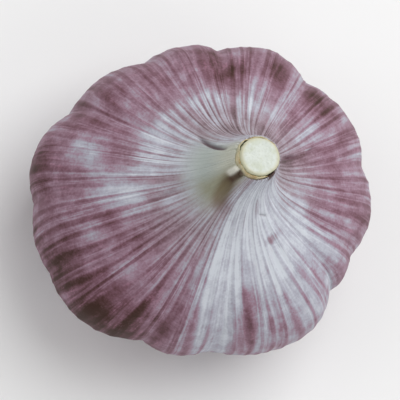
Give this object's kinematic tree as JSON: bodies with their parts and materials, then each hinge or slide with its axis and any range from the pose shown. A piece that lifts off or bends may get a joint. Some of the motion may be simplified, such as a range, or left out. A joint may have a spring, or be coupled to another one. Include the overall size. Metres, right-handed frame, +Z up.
{
  "type": "garlic bulb",
  "caption": "Whole garlic bulb in streaked papery skin swelling over its cloves, with a cut stalk in a short neck, standing on its trimmed root plate.",
  "frame": {"origin": "middle of the root plate's flat underside, where the bulb rests", "axes": "+Z up along the stalk towards its cut end; +X towards the side the neck leans to"},
  "size_m": [0.0605, 0.0548, 0.054],
  "materials": {
    "bulb_skin": "satin",
    "stalk_flesh": "matte",
    "sheath_fibre": "matte",
    "root_fibre": "matte"
  },
  "bodies": {
    "root": {"bulb": "bulb_skin", "stalk": "stalk_flesh", "neck_sheath": "sheath_fibre", "root_plate": "root_fibre"}
  },
  "joints": []
}
